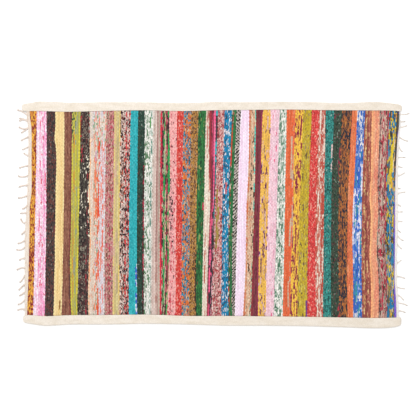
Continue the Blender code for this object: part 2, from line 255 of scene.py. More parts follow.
# Border of each stripe at the far, middle and near row, picks, run of one colour in floats
# or 0 for two rags twisted together, rags as colour:share, and picks woven from other rags
stripes = [
    (-492.0, -494.4, -500.6, 4, 0.6, "f0b440:4 dc903c:3 8a2428:6.2", {3: "e4983c:5 8a2428:4"}),
    (-475.3, -479.1, -485.0, 7, 1.1, "fee6f2:5 facade:4 f79cc6:3 e4647c:1.3", {
        0: "fadcf0:5 f6c4e4:2 fdf2f6:3", 1: "fcecf2:5 fac8e0:3", 5: "f9acd2:4 fad4e8:3 f080b0:2",
    }),
    (-449.0, -449.5, -453.8, 6, 0.3, "4c403c:6 281e1e:4 6c3c34:4 8c7c74:0.5", {}),
    (-424.8, -424.8, -429.6, 6, 5, "f2d394:5 eac680:2 f5d89c:2", {0: "fae2a4:1", 5: "f9e2a6:3 ecc888:2"}),
    (-400.8, -402.2, -408.1, 5, 1.2, "8f5b46:6 7a4638:3 a2705a:3", {4: "864640:4 5c3034:3"}),
    (-380.4, -382.8, -384.1, 5, 3, "ccc044:4 b4a850:3", {
        1: "cc9c40:3 b8b064:3", 2: "c8c048:4 a0a488:3", 3: "b4ac4c:4 9ca074:2", 4: "d6ca40:5 b0b058:2",
    }),
    (-357.5, -361.3, -366.1, 7, 0.35, "523a36:5 2a1a1a:4.6 8c8676:2.4 7c4440:1", {}),
    (-333.6, -333.6, -336.0, 11, 1.4, "e2d2c2:6 dac6b4:4 e8d8cc:2 eca084:0.6", {
        0: "f4a878:3 f3cdaa:4", 2: "e2ccba:4 e8a888:1 dccfc0:2", 3: "e2cdba:4 e89070:2 98a088:1",
        4: "e0cebe:4 ec7c50:2 c89ab8:1", 5: "e0cebe:4 93a085:2 ea7048:2", 6: "e4543a:4 ec8c78:2 e0d4d0:3",
        7: "dcd6dc:5 ec9c88:2", 8: "e0d4da:4 ee8c78:2", 9: "e8705c:4 dcd6de:4", 10: "dcd8d8:5 dca8a4:2",
    }),
    (-287.8, -291.6, -293.2, 6, 0.4, "c88e84:5 c06c7c:2 bc4050:2 74503e:2 a8a080:1 dcb0a4:2", {
        3: "8a5448:4 c04058:3 cc988c:3",
    }),
    (-266.3, -269.3, -271.2, 4, 4, "e2c880:4 d8b298:3", {
        1: "dcb89c:4 ccb880:2", 2: "dccc90:4 bcaa80:2", 3: "e2c470:5 ccb494:2",
    }),
    (-249.6, -251.5, -252.1, 6, 0.5, "e4ccc0:5 341a1c:5 a0786c:2 c4583c:1", {
        3: "d84a4c:4 d0b4ac:3 3c2022:3", 5: "c83a3c:3 d8b4ac:3 3c2022:3",
    }),
    (-221.9, -226.2, -227.8, 5, 0.4, "2fb3ba:6 4abfc6:2 1a9ba4:3", {}),
    (-202.0, -205.2, -205.0, 5, 0.3, "284a3a:6 2e4438:3 1a2e24:4 5c3832:0.4 788c80:0.5", {}),
    (-184.3, -186.4, -187.0, 6, 0.8, "f4f0e8:5 608460:3.6 c4ccc0:3", {
        4: "648c7c:3 b8c8bc:4 f4f0e8:4", 5: "e4d8ce:6 c4b0a2:3",
    }),
    (-156.8, -162.2, -165.2, 5, 4, "d4b8ae:5 dec8be:3", {
        2: "a87a72:5 bc9890:2", 3: "b8968c:4 c8a69c:3", 4: "c8b8a6:4 a89c8c:3",
    }),
    (-141.8, -143.9, -144.5, 6, 1.6, "dc2c44:6 a62438:2 cc7480:1", {
        1: "4a242c:4 c0a890:2 c43450:3", 2: "30984c:3 4a2a2c:2 b8a48c:2", 3: "d0b898:4 a8644c:2 4a2a2c:2",
        4: "42242c:4 b8405c:4 30984c:1", 5: "c8a888:4 3c9a4c:2 8a4c40:1",
    }),
    (-118.4, -118.4, -124.0, 5, 0.7, "f8b6b2:7 f4a4a2:3 cc4456:1.4 6c3436:0.4", {}),
    (-97.6, -100.3, -102.0, 4, 0.3, "de423a:6 ee8478:2 c43028:3 f8b8ac:0.8", {}),
    (-79.9, -83.7, -85.5, 5, 0.5, "1c8cac:3.8 e07430:5 ccb090:2 bc7860:1.6 3c4050:2.8", {}),
    (-59.4, -62.7, -64.8, 5, 0.3, "b07c40:5 bc946c:2 cc963c:2 5c3c28:4", {}),
    (-40.1, -45.2, -47.1, 5, 0.9, "2c6a38:8 348242:4 1b4526:4.6 98a05c:0.5 6a4434:0.3", {}),
    (-19.6, -25.6, -30.7, 4, 2, "f0e2d0:6 e4c8b4:2 c47c68:0.5", {}),
    (-5.9, -9.4, -15.3, 4, 3, "a43040:5 742c34:2", {
        1: "6c2c3c:4 a83c58:3 d84c70:1.4", 2: "fc5c8c:7 f07aa0:1.4", 3: "3c3a44:5 2cacb4:4",
    }),
    (12.1, 4.6, -3.2, 5, 0.35, "d6a09c:5 b04448:3.6 ecd4c8:1.6 784440:1.8", {}),
    (29.9, 23.9, 21.5, 5, 0.6, "0484b0:6 2894b8:2 98b4c4:1 f0e8ec:1.8 2c4460:2.2", {
        1: "1484b8:4 2c4458:3 f0e8ec:1.4",
    }),
    (50.3, 42.2, 40.9, 3, 1.2, "2c7844:5 205c34:3 9a8c6c:0.6", {
        0: "c4483a:2 4c4034:4 d8c8b4:2 2c7844:4",
    }),
    (62.7, 53.0, 50.3, 3, 0, "1e1210 d9ccc2", {}),
    (73.7, 64.8, 58.6, 6, 4, "fee7f8:6 f9dbf1:3 fdeefa:1", {}),
    (97.1, 90.7, 80.7, 5, 0.8, "dab494:5 dea886:3 eccdb0:3 3c2a20:1 cc7450:1", {
        0: "d87c4c:4 dab494:3 c86840:2", 4: "d0b898:4 7cbcaa:1 a8684c:1 4c3a2c:1",
    }),
    (114.9, 110.3, 101.1, 4, 2, "8a3038:4 922c42:2 742a32:2", {
        1: "843c42:4 6c2a34:3", 2: "7c3840:4 64242e:2", 3: "923050:3 9c3854:3",
    }),
    (132.9, 125.6, 120.5, 5, 1.4, "f0bc54:8 e4a850:2 dcb4b4:1.6 64285a:1.6", {}),
    (154.7, 147.1, 141.0, 6, 1.2, "f8d4de:8 f4c6d0:4 ecaec2:2 ec5a84:0.2", {}),
    (178.1, 171.4, 163.0, 5, 0.8, "f4f0e8:4.4 648a70:3 b8c4b6:3 487458:1.2", {
        4: "dce4da:4 94b4a6:3 f4f0e8:3",
    }),
    (197.4, 192.9, 187.5, 5, 2.2, "e6683c:6 de6034:3 ee8058:2", {4: "ea7048:5 d4a484:1"}),
    (221.4, 214.4, 207.4, 5, 1.3, "f6c448:6 e8a43c:1 902844:4.2", {}),
    (242.4, 232.4, 226.0, 6, 0.8, "ccb02c:6 b49834:4 9c7c68:1 d4c050:2 6c5838:0.5", {}),
    (264.7, 256.4, 252.9, 5, 0.3, "e24845:6 d03a38:3 f09888:2.2 b42c2c:2", {}),
    (284.3, 275.7, 276.3, 5, 1.4, "bc5040:5 e8d0c0:3.4 d08878:1", {1: "ecdccc:4 c8705c:3"}),
    (301.8, 297.8, 294.8, 5, 0.3, "30827c:7 40a498:3 164e4a:4 8ca49c:0.4", {}),
    (325.2, 317.4, 317.2, 5, 0.3, "3a503f:5 46483e:3 1c3424:4 7c8c7c:0.6 74343c:0.7", {}),
    (346.2, 336.8, 339.2, 6, 0.8, "b06634:4 b87638:2 2e2a36:5.6 7a4e34:2", {}),
    (373.1, 361.8, 361.3, 4, 2, "ea8050:5 de6c44:3 f69c70:2", {}),
    (387.1, 376.3, 375.5, 6, 1.2, "3868c0:7 5a8cd0:3 2c54a8:1 e0e0f0:0.6", {
        1: "4a88c8:3 3f92a0:2 3868c8:4", 4: "3868c8:4 3f98a0:2 e0e0f0:1",
    }),
    (408.1, 399.5, 400.0, 5, 1.0, "b4604e:4 924840:4 d09078:1", {
        1: "c89464:2 9c5044:4 dcb880:2", 2: "904840:5 7a3430:3 c4705c:2",
        3: "944c42:5 d8ac78:1.6 b8685a:3",
    }),
    (426.6, 422.9, 422.1, 5, 2, "f0a07c:4 e88a72:3 f8ba96:2", {
        0: "fab880:5 f4a674:2", 1: "f7b084:3 f29c78:2",
    }),
    (447.6, 441.7, 444.1, 6, 0.9, "be9084:4 dabca8:2.4 bc3448:2 54382e:2.4 8c9080:0.8", {
        0: "5c4440:4 b88c84:4 8c9080:1", 2: "b82c44:5 b88c84:2 d4b8a8:2", 5: "b03848:3 b88c84:3 6a4840:2",
    }),
    (473.4, 465.4, 466.4, 6, 1.8, "2480b0:5 d0b038:2.4 5c5844:2", {
        1: "1c80b0:4 dcc030:3 6c6048:2", 2: "1c80b0:3 b09078:2 6a4838:3 dcc030:1",
        3: "e0b82c:4 1c80b0:3 6a5a50:2", 4: "d8c4a4:2 1c80b0:3 c8a838:2 54503e:1",
        5: "4c423c:4 2c6ca0:3 c08840:2",
    }),
    (497.9, 487.2, 487.4, 1, 3, "7a58cc:3 8a6cd4:1", {}),
]

# Where a rag is joined to another: stripe, pick in it or every pick, from y, to y, run, rags
joins = [
    (1, 3, -290, -190, 1.5, "f7a4c8:4 fbcde2:3"),
    (1, 4, -290, -190, 1.5, "f7a4c8:4 fbcde2:3"),
    (2, 5, -90, -20, 1, "7a3c36:3 463f3c:3"),
    (3, 4, -262, -236, 4, "9a6a35:4 f4d994:1"),
    (4, 4, -290, -120, 1.5, "5a3836:4 8a4a3e:3"),
    (5, 0, 190, 290, 0.8, "3a4450:2 2f4c38:2 c9c050:4"),
    (5, 1, 228, 290, 0.5, "2c3450:1 2a4a34:1 c9c050:5"),
    (6, 0, 205, 268, 1.4, "c03038:3 5a2428:2"),
    (6, 1, 120, 190, 1, "b83040:3 5a2428:2 2a2220:2"),
    (6, None, -65, 165, 0.5, "3c322e:5 221a1a:4 5c584c:3 ece2cc:0.9"),
    (6, 5, -65, 165, 0.7, "2a2422:4 f6eed4:1.6"),
    (6, 6, -65, 165, 0.7, "2a2422:4 f6eed4:1.8"),
    (6, 5, -290, 110, 1.2, "6a2428:4 b83444:2 423834:6"),
    (7, 6, -290, -200, 3, "e5552f:3 e8a080:2"),
    (7, 6, 0, 80, 2.5, "e4482c:5 ec8c78:1"),
    (7, None, 200, 315, 1, "e2d2c2:7 ec8878:2 8ca888:1.6 d8d0d8:2"),
    (11, 4, -280, -120, 1, "3f62c8:3 ececf2:2 37b3bb:3"),
    (12, 4, -290, 140, 1, "a82c44:2 3c2420:4"),
    (13, 3, 238, 262, 2, "5f9a5a:1"),
    (14, 2, -290, -120, 3, "b07c70:4 d0b4a8:2"),
    (15, 2, -290, -150, 2, "2f9a50:5 a4b48c:1 4a2a2c:1"),
    (15, 2, 40, 180, 2, "2f9a50:5 a4b48c:2 4a2a2c:1"),
    (15, 5, 60, 290, 2.5, "2f9a50:5 c8a888:2 3a2428:1"),
    (16, 0, -60, 100, 0.5, "342422:4 f8b0b0:5"),
    (16, 1, -40, 90, 0.5, "342422:4 f8b0b0:5"),
    (16, 2, -110, 60, 0.5, "342422:3 dc5a6a:1 f8b0b0:5"),
    (16, 1, -290, -120, 1, "c83848:3 f8b0b0:4"),
    (19, 4, -290, -90, 0.5, "3c2822:5 ac7844:4"),
    (20, 4, 22, 42, 2, "b5304a:1"),
    (21, 1, 130, 300, 2, "c4786a:3 eadaca:3"),
    (21, 2, 170, 300, 2, "c4786a:2 eadaca:3"),
    (21, 3, 60, 290, 3, "b03c3c:4 d89080:2 f0e4d4:1"),
    (21, 1, -190, -60, 3, "c06858:4 f0e4d4:2"),
    (22, 0, -290, -10, 3, "b44450:5 6c3040:3"),
    (22, 1, -290, -10, 2.4, "fc6490:4 c03c60:2 3a2c34:2"),
    (22, 2, -290, -10, 2.4, "2c282c:5 d83c44:1.4 54386c:1.4"),
    (22, 3, -290, -10, 2, "3a3438:4 a04858:2 d8a0a8:2"),
    (22, 3, 200, 262, 4, "3c363c:1"),
    (22, 2, -290, 20, 3, "2c282c:5 f8608c:2"),
    (23, 1, -95, 60, 1, "a08c34:4 c88c84:2"),
    (23, 2, -60, 20, 1, "a08c34:3 c88c84:2"),
    (24, 2, 57, 93, 5, "d8504c:1"),
    (25, 0, 130, 250, 2, "c83c30:5 2c7844:2"),
    (28, 4, 60, 290, 1.6, "62c2b2:4 d8c8a8:2"),
    (28, 2, 60, 220, 0.6, "dab494:5 3c2a20:2"),
    (28, 0, -290, -130, 3, "d88058:5 dabf9c:2"),
    (33, 3, 92, 206, 3, "d0b094:6 ea6c44:1"),
    (33, 4, 50, 150, 3, "d0b094:3 ea6c44:2"),
    (33, 3, -75, -8, 3, "d0b094:5 ea6c44:1"),
    (33, 4, -75, 30, 3, "c8a890:3 ea6c44:2"),
    (33, 3, -240, -168, 3, "d0b094:5 ea6c44:1"),
    (33, 4, -262, -170, 3, "c8a890:3 ea6c44:2"),
    (35, 5, -274, -236, 3, "7a3a80:1"),
    (38, 4, 110, 190, 1.2, "dcc0bc:3 2a827c:4"),
    (39, 4, 95, 175, 1, "8a2c3c:4 34503f:2"),
    (39, 4, -290, -225, 2, "a8303c:4 3c443a:2"),
    (42, None, 180, 310, 1.1, "ccd0e2:1.8 3868bc:5 f0ece8:1.4"),
    (42, 3, 60, 190, 2.4, "ecebf4:4 3868c8:5"),
    (42, None, -92, 60, 2, "e8e4f0:2.8 3868c8:4.4 8cacdc:2 3f98a0:1.2"),
    (42, None, -315, -190, 2, "e4e0e4:2.4 3868bc:5 3f98a0:1"),
    (42, 0, -120, 30, 4, "d8d6ea:5 5a8cd4:2"),
    (42, 5, 60, 140, 4, "e4e0ee:5 5a8cd4:1"),
    (46, None, 212, 315, 1.2, "1c80b0:3 dcc030:3 3c3a38:2 c88c50:1"),
    (46, 3, 100, 212, 3, "e6c828:5 1c80b0:1.4 a88c48:1"),
    (46, 2, 60, 200, 2.4, "e6d890:2 dcc030:3 8c7060:1"),
    (46, 5, 100, 290, 1.2, "4a403a:5 3c3430:2 c88c50:1"),
    (46, None, 12, 84, 1.3, "2080b0:5 4c4844:1.6 c89858:1.6 e6c828:1.4"),
    (46, None, -62, 20, 1.6, "e6c828:3 1c80b0:3.4 4a4438:3 c89858:1"),
    (46, None, -88, -56, 0.6, "38302c:4 c8a030:2 6a5840:2"),
    (46, None, -134, -86, 1.2, "2c84b0:5 d8b830:1.2 54504a:1.8 8c9c98:1"),
    (46, None, -196, -126, 1.4, "e0c430:2.8 1c80b0:2.6 5c5040:2 c8a484:1.8"),
    (47, None, 70, 300, 1.2, "5a4c48:5 7a58cc:1.6 6a6a50:2"),
]

stripePicks = [row[3] for row in stripes]
pickStart = [sum(stripePicks[:number]) for number in range(len(stripes))]
pickCount = sum(stripePicks)
pickStripe = [number for number, picks in enumerate(stripePicks) for _ in range(picks)]
dice = random.Random(48)
pickShift = [dice.uniform(-1, 1) * ragCloth["pickJitter"] for _ in range(pickCount + 1)]
pickShift[0] = pickShift[-1] = 0.0

borderRows = (268.0, 15.0, -262.0)      # y of the far, middle and near row

# How far a border strays from its bend through those rows: border, then its y and x
strays = {
    3: [(-280, 0), (60, 0.6), (150, 2.4), (185, 0.4), (205, -2.6), (235, 0), (280, 0)],
    5: [(-280, 2.6), (-215, 0), (-120, -2.0), (-30, 0), (280, 0)],
    7: [(-280, 0), (-190, -1.4), (-60, 1.6), (60, -1.2), (170, 1.2), (280, 0)],
    16: [(-280, 0), (-120, 1.2), (-10, -1.0), (120, 1.6), (200, 0), (280, 0)],
    22: [(-280, -2.5), (-100, -2), (0, 0.5), (70, 1), (150, -1), (280, -3)],
    23: [(-280, -2), (-100, -1), (0, -1.5), (150, 0), (280, 0)],
    28: [(-280, 0), (-160, 1.6), (20, -1.0), (150, 1.4), (280, 0)],
    34: [(-280, 0), (-140, -1.4), (0, 1.6), (130, -1.4), (280, 0)],
    42: [(-280, 0), (-150, 1.4), (-20, -1.2), (120, 1.0), (280, 0)],
    44: [(-280, 1.5), (-200, 3.0), (-110, -1.5), (-10, 1.5), (45, -2.6), (110, 0), (280, 0)],
    45: [(-280, 0), (-190, 2.6), (-90, -1.8), (10, 2.4), (80, -0.6), (180, 1.2), (280, 0)],
    46: [(-280, 0), (-180, 3.0), (-70, -2.2), (20, 1.8), (90, -2.0), (190, 1.2), (280, 0)],
}


def stripeBorder(number, y):
    # a border bends through its three places; the first and last are the cloth's ends
    if number == 0:
        return smoothValue(clothEnd["left"], y)
    if number == len(stripes):
        return smoothValue(clothEnd["right"], y)
    far, middle, near = borderRows
    shares = (
        (y - middle) * (y - near) / ((far - middle) * (far - near)),
        (y - far) * (y - near) / ((middle - far) * (middle - near)),
        (y - far) * (y - middle) / ((near - far) * (near - middle)),
    )
    stray = smoothValue(strays[number], y) if number in strays else 0.0
    return sum(share * x for share, x in zip(shares, stripes[number])) + stray


def pickPlace(u, y):
    # x of a place counted in picks from the left end
    number = pickStripe[min(int(u), pickCount - 1)]
    left = stripeBorder(number, y)
    right = stripeBorder(number + 1, y)
    pitch = (right - left) / stripePicks[number]
    lower = min(int(u), pickCount - 1)
    part = u - lower
    uneven = pickShift[lower] * (1 - part) + pickShift[lower + 1] * part
    edge = min(u, pickCount - u, 2.0) / 2.0
    drift = noise.noise(Vector((u * 0.35, y * 0.02, 3.0))) * ragCloth["wander"]
    return left + pitch * (u - pickStart[number] + uneven) + drift * edge


def parseRags(words):
    pairs = [word.split(":") for word in words.split()]
    return [linear(code) for code, _ in pairs], [float(share) for _, share in pairs]


def dyeStrip(rags, run, count, chance):
    # two folds of a strip of rag lie side by side; each holds a colour for a while and turns aslant
    colours, shares = parseRags(rags)
    lines = [[] for _ in range(ragCloth["columns"])]
    wide = chance.choice((1, 2))
    slant = 0.7 * min(run, 1)
    for fold in (lines[:wide], lines[wide:]):
        place = 0.0
        while min(len(line) for line in fold) < count:
            colour = chance.choices(colours, shares)[0]
            place += max(0.5, chance.expovariate(1 / run))
            for line in fold:
                end = round((place + chance.uniform(-slant, slant)) * ragCloth["rows"])
                line += [colour] * (end - len(line))
    return [line[:count] for line in lines]


twist = {
    "repeat": 7,            # in half floats
    "dark": 4,
    "swapAt": 0.82,         # the slant goes the other way from here to the far end
    "slip": 3,
    "sway": 2,
    "swayTurn": 0.13,
}


def twistStrip(rags, count, pick, chance):
    # two rags twisted together show by turns, aslant over the picks
    dark, light = [linear(code) for code in rags.split()]
    lines = []
    for across in range(pick * ragCloth["columns"], (pick + 1) * ragCloth["columns"]):
        line = []
        for row in range(count):
            lean = -across if row < count * twist["swapAt"] else across
            slip = chance.choice((0, 0, 0, 0, twist["slip"]))
            slip += round(twist["sway"] * math.sin(row * twist["swayTurn"]))
            turned = (2 * row + lean + slip) % twist["repeat"] < twist["dark"]
            line.append(dark if turned else light)
        lines.append(line)
    return lines


def warpRow(y):
    # the half float that lies at y
    across = (y - ragCloth["nearEdge"]) / ragCloth["width"]
    return round(across * ragCloth["warps"] * ragCloth["rows"])


def dyeCloth():
    chance = random.Random(5)
    strips = []
    count = ragCloth["warps"] * ragCloth["rows"]
    for number, (_, _, _, picks, run, mainRags, otherRags) in enumerate(stripes):
        plain = run >= ragCloth["plainRun"]
        grain = ragCloth["plainGrain"] if plain else ragCloth["mixedGrain"]
        for pick in range(picks):
            rags = otherRags.get(pick, mainRags)
            if run > 0:
                lines = dyeStrip(rags, run, count, chance)
            else:
                lines = twistStrip(rags, count, pick, chance)
            for place, at, low, high, patchRun, patch in joins:
                if place == number and at in (None, pick):
                    slip = ragCloth["wideJoinSlip"] if at is None else ragCloth["joinSlip"]
                    first = min(max(warpRow(low + chance.uniform(-slip, slip)), 0), count)
                    last = min(max(warpRow(high + chance.uniform(-slip, slip)), first), count)
                    joined = dyeStrip(patch, patchRun, last - first, chance)
                    for line, piece in zip(lines, joined):
                        line[first:last] = piece
            worn = chance.uniform(*ragCloth["worn"])
            tones = [worn * chance.uniform(1 - grain, 1 + grain) for _ in range(count)]
            strips.append([[colour * tone for colour, tone in zip(line, tones)] for line in lines])
    return strips


def weaveCloth(span, look, bend, strips):
    # two faces of woven floats, top and underside, with their rims bridged
    body = bmesh.new()
    weave = body.loops.layers.uv.new("weave")
    yarn = body.loops.layers.float_color.new("yarnColour")
    ahead = body.loops.layers.float_color.new("nextColour")
    rowEnd = body.loops.layers.float.new("rowEnd")
    first, last = span
    warps = look["warps"]

    def paint(face, u, v, step):
        pick = min(max(int(u), first), last - 1)
        line = strips[pick][min(int((u - pick) * look["columns"]), look["columns"] - 1)]
        row = min(max(int(v * look["rows"]), 0), len(line) - 1)
        for loop in face.loops:
            loop[yarn] = (*line[row], 1.0)
            loop[ahead] = (*line[min(row + step, len(line) - 1)], 1.0)

    for under, perPick, perWarp in ((False, look["columns"], look["rows"]), (True, 2, 1)):
        columns = (last - first) * perPick
        inner = [step / perWarp for step in range(warps * perWarp + 1)]
        lines = [-2, -1, *inner, warps + 1, warps + 2]
        grid = bmesh.ops.create_grid(
            body, x_segments=columns, y_segments=len(lines) - 1, size=1.0
        )["verts"]
        threads = {}
        for vert in grid:
            row = round((vert.co.y + 1) / 2 * (len(lines) - 1))
            threads[vert] = (first + round((vert.co.x + 1) / 2 * columns) / perPick, lines[row])
        for face in {face for vert in grid for face in vert.link_faces}:
            face.smooth = True
            places = [threads[vert] for vert in face.verts]
            middle = sum(place[1] for place in places) / 4
            paint(face, sum(place[0] for place in places) / 4, middle, look["rows"] // perWarp)
            for loop, (u, v) in zip(face.loops, places):
                loop[weave].uv = (u, v)
                loop[rowEnd] = float(v > middle)
        for vert, (u, v) in threads.items():
            vert.co = bend(u, v, under) * mm
    rim = [edge for edge in body.edges if edge.is_boundary]
    for face in bmesh.ops.bridge_loops(body, edges=rim)["faces"]:
        paint(face, first if face.calc_center_median().x < 0 else last - 1, warps / 2, 0)
    return body


tapeInset = 1.9             # from the tape's fold to the hem inside it
tapeClear = 0.4             # from the tape's inner edge to the first warp


def acrossMat(x, v, warps):
    # y of a warp thread; beyond the first and the last one the cloth goes on under the tape
    near = smoothValue(nearInner, x) + tapeClear
    far = smoothValue(farInner, x) - tapeClear
    if v < 0:
        hem = smoothValue(nearOuter, x) + tapeInset
        return near + (hem - near) * -v / 2
    if v > warps:
        hem = smoothValue(farOuter, x) - tapeInset
        return far + (hem - far) * (v - warps) / 2
    return near + (far - near) * v / warps


floatForm = {
    "roundness": 2.2,
    "tucked": 0.55,         # height that is left where a thread goes under a warp
    "uneven": 0.25,
}


def floatHeight(u, v, under, look, y, near, far):
    # height of a thread that goes over one warp and under the next
    over = 0.5 + 0.5 * math.cos(math.pi * (int(u) + v))
    across = abs(u - int(u) - 0.5) * 2
    rounded = 1 - across ** floatForm["roundness"]
    press = easeStep(min(y - near, far - y) / look["pressRun"])
    if under:
        low = (1 - (1 - over) * rounded) * look["sag"]
        return look["underTape"] + (low - look["underTape"]) * press
    lift = rounded * (floatForm["tucked"] + (1 - floatForm["tucked"]) * over)
    uneven = noise.noise(Vector((u * 0.8, v * 0.6, 9.0))) * floatForm["uneven"] * rounded
    high = look["dip"] + (look["crest"] - look["dip"]) * lift
    high = min(high + uneven * look["sag"], look["crest"] + 0.1)
    return look["taped"] + (high - look["taped"]) * press


def ragPlace(u, v, under):
    guess = pickPlace(u, 0.0)
    y = acrossMat(guess, v, ragCloth["warps"])
    near = smoothValue(nearInner, guess)
    far = smoothValue(farInner, guess)
    if 0 < v < ragCloth["warps"]:
        y += noise.noise(Vector((u * 0.12, v * 0.5, 1.0))) * ragCloth["sway"]
    else:
        y = acrossMat(pickPlace(u, y), v, ragCloth["warps"])
    lower = int(u)
    part = u - lower
    spread = 0.0
    if 0 < u < pickCount:
        wave = -math.cos(math.pi * (lower + v)) * ragCloth["bulge"]
        spread = wave * (1 - 2 * part)
    x = pickPlace(min(max(u + spread, 0.0), pickCount), y)
    z = floatHeight(u, v, under, ragCloth, y, near, far)
    return Vector((x, y, z)) + shift


def wovenMaterial(name, middle, low, high, shade, crease):
    # middle is the height about which both faces rise, from low in the dips to high on the floats; shade
    # is the painted shade, a tone from the dips to the float tops
    material, tree, shader = newMaterial(name, 0.93, 0.15)
    yarn = addNode(tree, "Attribute", attribute_name="yarnColour")
    ahead = addNode(tree, "Attribute", attribute_name="nextColour")
    rowEnd = addNode(tree, "Attribute", attribute_name="rowEnd")

    # one colour frays into the next
    frays = rescale(tree, noiseAt(tree, clothPlace(tree, (8, 1, 1)), 1.0), 0.35, 0.65, 0.05, 0.9)
    reach = combine(tree, "SUBTRACT", rowEnd.outputs["Fac"], frays)
    mixer = addNode(tree, "Mix", data_type="RGBA")
    tree.links.new(rescale(tree, reach, 0.0, 0.08, 0.0, 1.0), mixer.inputs[0])
    tree.links.new(yarn.outputs["Color"], mixer.inputs[6])
    tree.links.new(ahead.outputs["Color"], mixer.inputs[7])

    # painted shade darkens the dips between the floats by their depth towards the middle height, and
    # fibres vary the colour
    place = addNode(tree, "TexCoord")
    split = addNode(tree, "SeparateXYZ")
    tree.links.new(place.outputs["Object"], split.inputs["Vector"])
    above = combine(tree, "SUBTRACT", split.outputs["Z"], middle * mm)
    depth = combine(tree, "ABSOLUTE", above, 0.0)
    # painted shade: the tone runs from shade[0] deep in the dips to shade[1] on the float tops
    paintedDipShade = rescale(tree, depth, low * mm, high * mm, *shade)
    fibres = rescale(tree, noiseAt(tree, objectPlace(tree, (1, 0.3, 1)), 1600.0), 0.3, 0.7, 0.9, 1.08)
    colour = shaded(tree, mixer.outputs[2], combine(tree, "MULTIPLY", paintedDipShade, fibres))
    tree.links.new(colour, shader.inputs["Base Color"])

    creases = noiseAt(tree, clothPlace(tree, (6.0, 0.9, 1.0)), 1.0)
    fine = noiseAt(tree, objectPlace(tree, (1, 1, 1)), 2600.0, 2.0)
    normal = bumped(tree, fine, 0.00012, bumped(tree, creases, crease))
    tree.links.new(normal, shader.inputs["Normal"])
    return material


# painted shade: tone 0.76 in the dips of the rag cloth, rising to a slight painted highlight of 1.07 on
# the float tops
ragFinish = wovenMaterial("wovenCottonRag", 2.7, 1.95, 3.0, (0.76, 1.07), 0.0008)
ragStrips = dyeCloth()
clothNames = ("ragClothLeft", "ragClothMiddle", "ragClothRight")
ragPieces = []
for name, first, last in zip(clothNames, ragCloth["parts"], ragCloth["parts"][1:]):
    body = weaveCloth((first, last), ragCloth, ragPlace, ragStrips)
    ragPieces.append(finishPiece(name, body, ragFinish, ["rag_weave"]))

# The headings, woven of cream yarn

heading = {
    "warps": 110,
    "picks": 8,
    "crest": 3.6,
    "dip": 3.15,
    "sag": 0.4,
    "taped": 4.3,
    "underTape": 1.25,
    "pressRun": 2.2,
    "bulge": 0.15,
    "columns": 3,
    "rows": 2,
    "gap": 0.3,             # to the rag cloth
    "wander": 0.6,          # of the outer edge
    "guess": 500.0,         # about where x is
    "yarns": {
        "left": "f3e8dc:5 eddecf:3 e4cebc:2",
        "right": "fdf8f2:5 f8f0e8:3 f0e2da:2",
    },
}


def headingPlace(side):
    sign = -1 if side == "left" else 1

    def place(u, v, under):
        y = acrossMat(sign * heading["guess"], v, heading["warps"])
        lower = int(u)
        spread = 0.0
        if 0 < u < heading["picks"]:
            wave = -math.cos(math.pi * (lower + v)) * heading["bulge"]
            spread = wave * (1 - 2 * (u - lower))
        along = (u + spread) / heading["picks"]
        for _ in range(2):
            inner = smoothValue(clothEnd[side], y) + sign * heading["gap"]
            outer = smoothValue(headingEnd[side], y)
            x = inner + (outer - inner) * along
            y = acrossMat(x, v, heading["warps"])
        if u == heading["picks"]:
            x += noise.noise(Vector((v * 0.7, 4.0, 0.0))) * heading["wander"]
        near = smoothValue(nearInner, x)
        far = smoothValue(farInner, x)
        z = floatHeight(u, v, under, heading, y, near, far)
        return Vector((x, y, z)) + shift

    return place


def yarnMaterial(name, code, strandScale):
    material, tree, shader = newMaterial(name, 0.9, 0.25)
    tint = addNode(tree, "RGB")
    tint.outputs[0].default_value = (*linear(code), 1.0)
    soil = rescale(tree, noiseAt(tree, objectPlace(tree, (1, 1, 1)), 45.0), 0.3, 0.7, 0.9, 1.04)
    fibres = rescale(tree, noiseAt(tree, objectPlace(tree, (1, 1, 1)), 1900.0), 0.3, 0.7, 0.9, 1.06)
    colour = shaded(tree, tint.outputs[0], combine(tree, "MULTIPLY", soil, fibres))
    tree.links.new(colour, shader.inputs["Base Color"])
    strands = noiseAt(tree, objectPlace(tree, (1, 1, 1)), strandScale, 4.0)
    tree.links.new(bumped(tree, strands, 0.0003), shader.inputs["Normal"])
    return material


# The tassels

